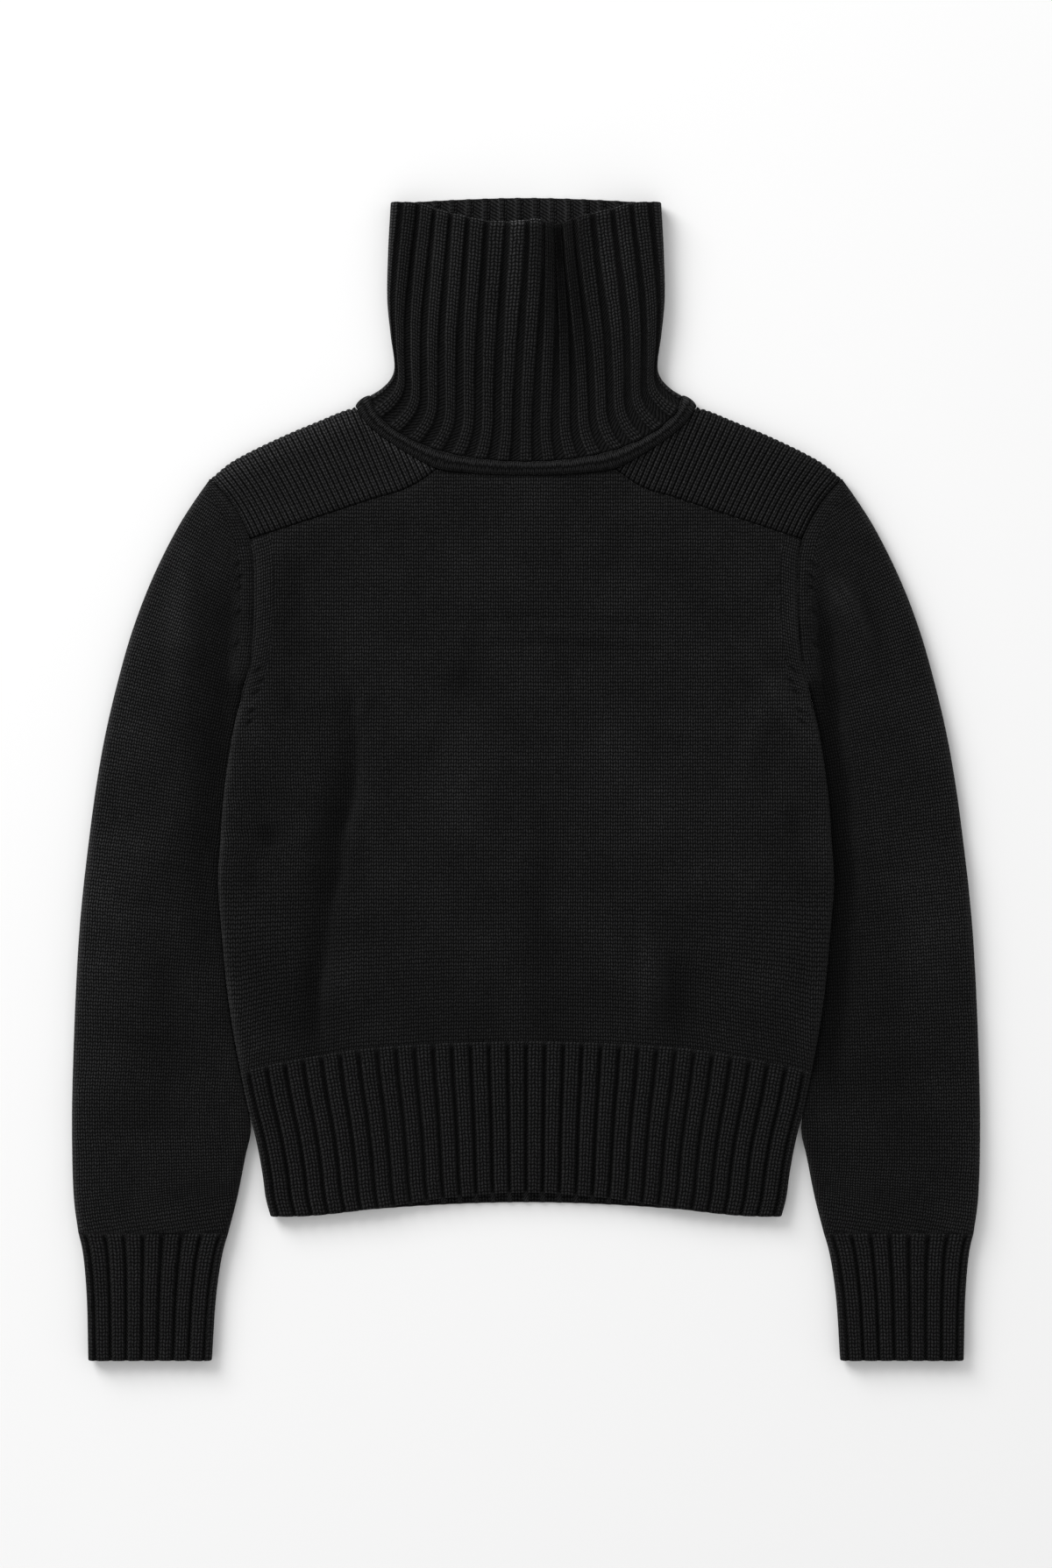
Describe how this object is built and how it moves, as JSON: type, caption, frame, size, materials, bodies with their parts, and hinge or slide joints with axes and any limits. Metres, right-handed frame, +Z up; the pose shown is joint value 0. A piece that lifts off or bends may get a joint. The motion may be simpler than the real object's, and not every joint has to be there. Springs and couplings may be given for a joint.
{
  "type": "roll-neck sweater",
  "caption": "Black knitted roll-neck sweater laid flat, front up: plain body and sleeves, ribbed shoulder panels, tall ribbed collar, deep ribbed hem and cuffs.",
  "frame": {"origin": "on the surface the sweater lies on, under the middle of its outline", "axes": "+X across the body towards the sleeve on the right as seen from above, +Y up the body towards the collar, +Z up off the surface"},
  "size_m": [0.6744, 0.8638, 0.0284],
  "materials": {
    "plain_knit": "matt black wool, stocking stitch",
    "rib_knit": "matt black wool, ribbed"
  },
  "bodies": {
    "root": {"front": "plain_knit", "back": "plain_knit", "hem_front": "rib_knit", "hem_back": "rib_knit", "sleeve_left": "plain_knit", "sleeve_right": "plain_knit", "cuff_left": "rib_knit", "cuff_right": "rib_knit", "yoke_left": "rib_knit", "yoke_right": "rib_knit", "neck_band": "plain_knit", "collar": "rib_knit"}
  },
  "joints": []
}
